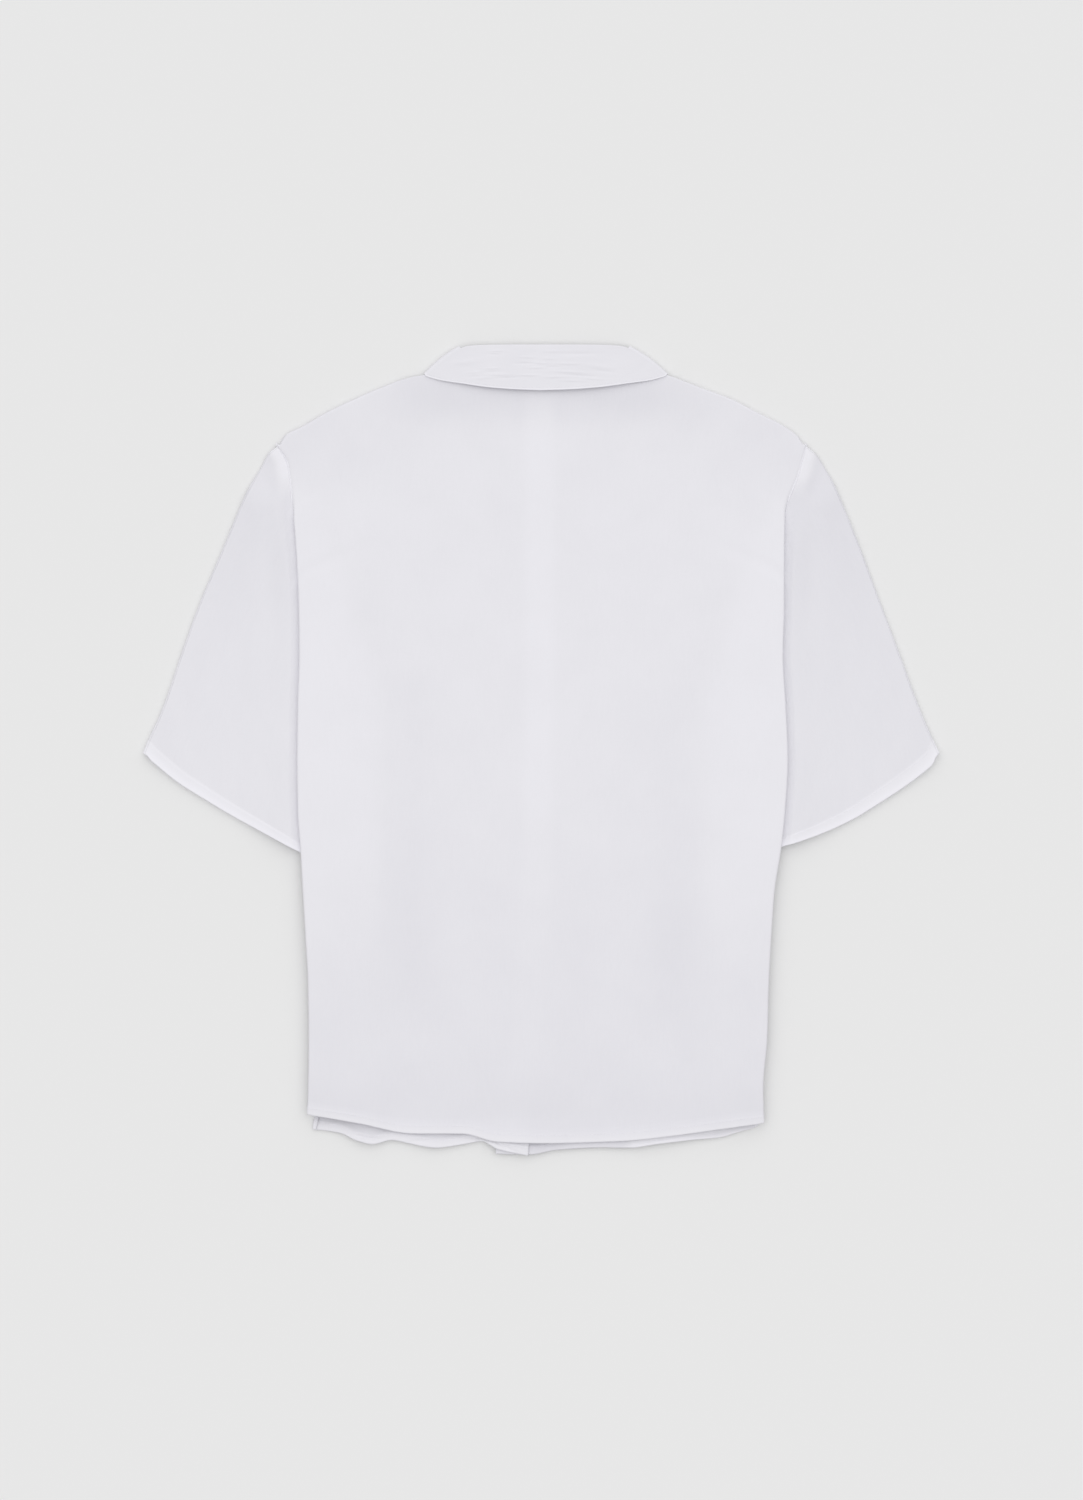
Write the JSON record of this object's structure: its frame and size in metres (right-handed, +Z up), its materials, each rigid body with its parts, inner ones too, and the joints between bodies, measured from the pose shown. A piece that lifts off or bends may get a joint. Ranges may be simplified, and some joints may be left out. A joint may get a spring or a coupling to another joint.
{
  "type": "short-sleeve shirt laid flat",
  "caption": "Crinkled cotton short-sleeve shirt with a fold-over collar, laid flat with its back up, fronts closed by buttons beneath.",
  "frame": {"origin": "centre of the garment's outline, on the surface that it lies on", "axes": "+Z up from the surface through the fronts to the back, +Y from the hem to the collar, +X to the right as seen from above, which is the wearer's right"},
  "size_m": [0.7325, 0.7453, 0.0103],
  "materials": {
    "cloth": "matte crinkled cotton gauze, near white with a faint lavender tint",
    "button": "smooth, softly glossy"
  },
  "bodies": {
    "root": {"back_panel": "cloth", "front_left": "cloth", "front_right": "cloth", "sleeve_left": "cloth", "sleeve_right": "cloth", "collar": "cloth", "button_1": "button", "button_2": "button", "button_3": "button", "button_4": "button", "button_5": "button", "button_6": "button"}
  },
  "joints": []
}
